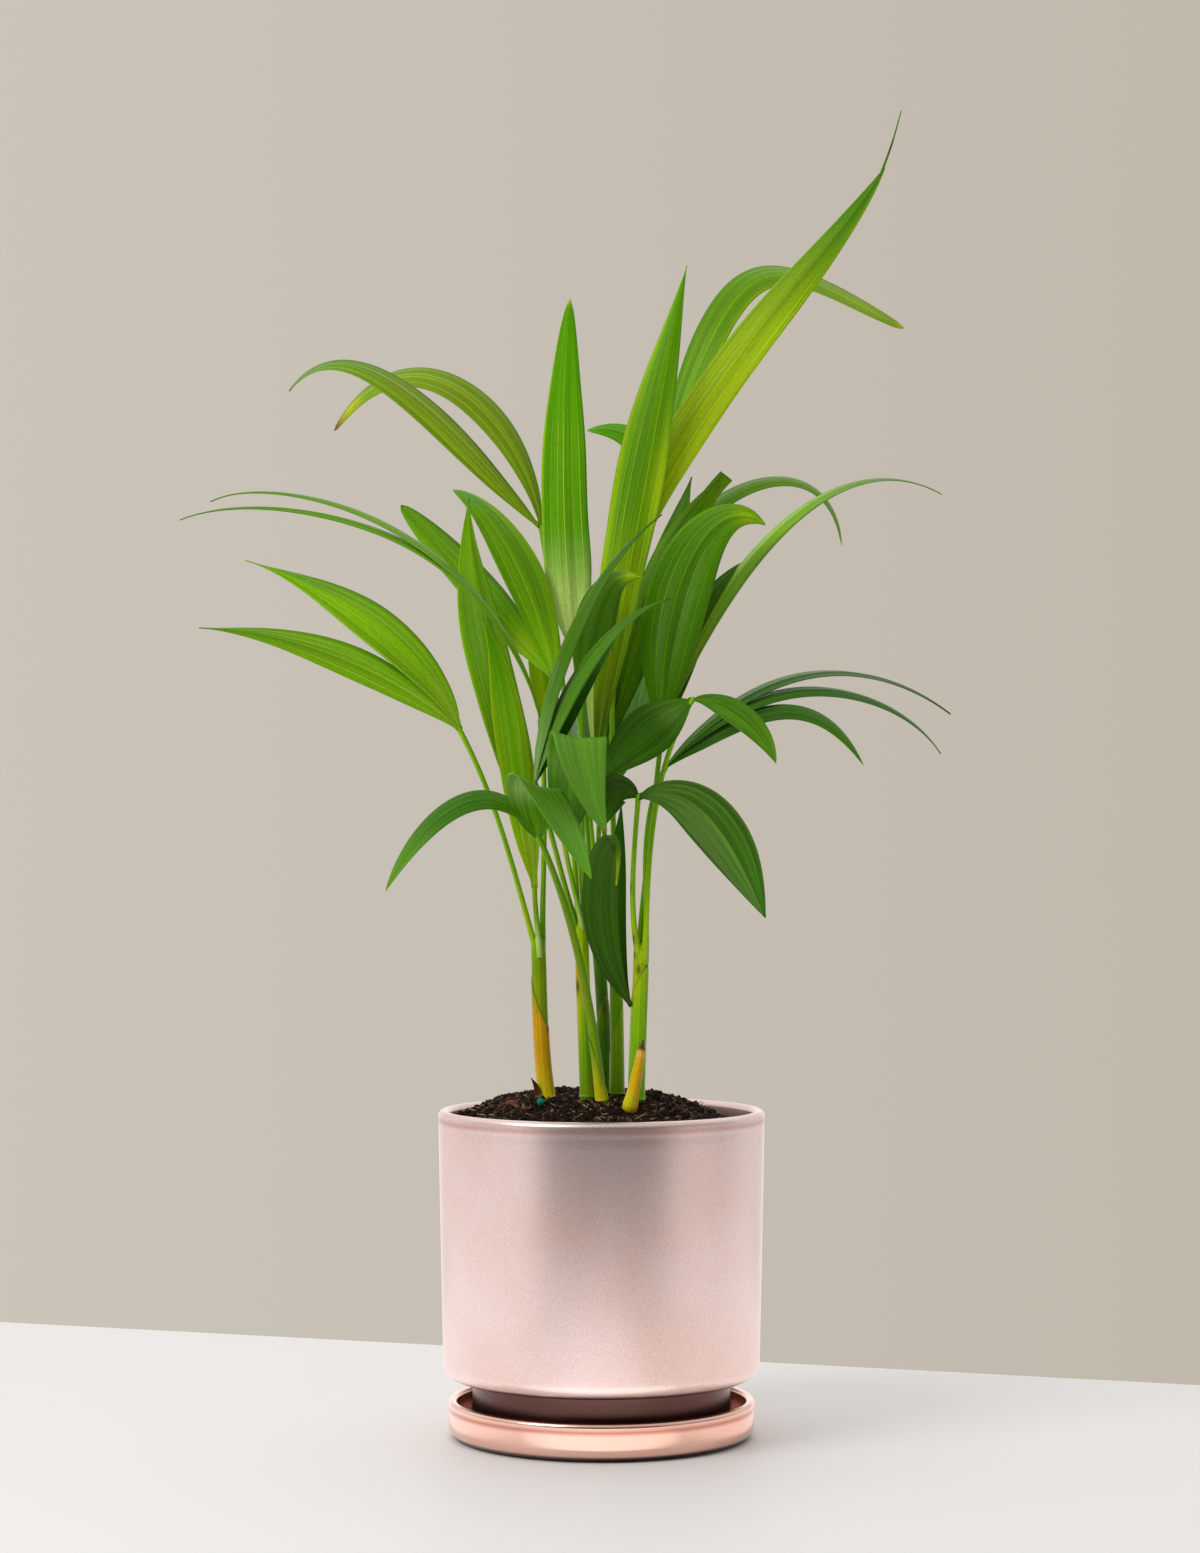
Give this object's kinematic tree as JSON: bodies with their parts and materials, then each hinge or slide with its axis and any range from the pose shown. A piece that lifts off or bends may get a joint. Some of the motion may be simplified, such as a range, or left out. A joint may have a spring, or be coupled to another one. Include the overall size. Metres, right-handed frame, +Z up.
{
  "type": "potted areca palm",
  "caption": "Young clumping areca palm with arching two-lobed leaves, rooted in a rose-gold glazed cylinder pot that stands in a matching saucer.",
  "frame": {"origin": "middle of the saucer's flat underside, on the surface that the plant stands on", "axes": "+Z up along the pot's axis, +X to the right and -Y towards the viewer of the front"},
  "size_m": [0.3096, 0.2034, 0.5461],
  "materials": {
    "rose_gold_glaze": "satin metallic rose glaze",
    "copper_glaze": "glossy metallic copper rose glaze",
    "potting_soil": "crumbly dark potting soil",
    "sheath_yellow": "dry yellow leaf sheath",
    "stem_green": "satin green stem",
    "stem_dark_green": "satin dark green stem",
    "stalk_lime": "satin lime leaf stalk",
    "stalk_green": "satin green leaf stalk",
    "stalk_pale": "satin pale leaf stalk",
    "leaf_bright_green": "satin bright green leaf",
    "leaf_lime": "satin lime young leaf",
    "leaf_deep_green": "glossy deep green leaf",
    "leaf_blue_green": "satin blue-green leaf"
  },
  "bodies": {
    "root": {"frond_arching_left": "leaf_bright_green", "frond_arching_left_front_tip": "leaf_bright_green", "frond_arching_left_rear_tip": "leaf_bright_green", "frond_back_left": "leaf_deep_green", "frond_back_right": "leaf_deep_green", "frond_broad_right": "leaf_deep_green", "frond_broad_right_strip_tip": "leaf_deep_green", "frond_dark_fan": "leaf_deep_green", "frond_dark_fan_arched_tip": "leaf_deep_green", "frond_dark_hook": "leaf_deep_green", "frond_drooping": "leaf_deep_green", "frond_front_left": "leaf_deep_green", "frond_front_left_left_tip": "leaf_deep_green", "frond_front_right": "leaf_deep_green", "frond_hooked_back": "leaf_bright_green", "frond_hooked_back_right_tip": "leaf_bright_green", "frond_low_centre": "leaf_deep_green", "frond_low_left": "leaf_bright_green", "frond_low_right": "leaf_deep_green", "frond_mid_left": "leaf_bright_green", "frond_reaching_left": "leaf_deep_green", "frond_reaching_left_lower_tip": "leaf_deep_green", "frond_reaching_left_upper_tip": "leaf_deep_green", "frond_reaching_right": "leaf_deep_green", "frond_slim_front": "leaf_blue_green", "frond_spear": "leaf_bright_green", "frond_tall_left": "leaf_blue_green", "frond_tallest": "leaf_bright_green", "frond_young_lime": "leaf_lime", "pot": "rose_gold_glaze", "saucer": "copper_glaze", "sheath_stub": "sheath_yellow", "soil": "potting_soil", "stalk_arching_left": "stalk_lime", "stalk_back_left": "stalk_green", "stalk_back_right": "stalk_green", "stalk_broad_right": "stalk_green", "stalk_dark_fan": "stalk_green", "stalk_dark_hook": "stalk_green", "stalk_front_right": "stalk_pale", "stalk_hooked_back": "stalk_green", "stalk_low_centre": "stalk_lime", "stalk_low_left": "stalk_lime", "stalk_low_right": "stalk_lime", "stalk_mid_left": "stalk_lime", "stalk_reaching_left": "stalk_green", "stalk_reaching_right": "stalk_green", "stalk_slim_front": "stalk_green", "stalk_spear": "stalk_green", "stalk_tall_left": "stalk_pale", "stalk_tallest": "stalk_lime", "stalk_young_lime": "stalk_lime", "stem_back": "stem_green", "stem_dark": "stem_dark_green", "stem_front": "stem_green", "stem_left": "stem_green", "stem_middle": "stem_green", "stem_right": "stem_green"}
  },
  "joints": []
}
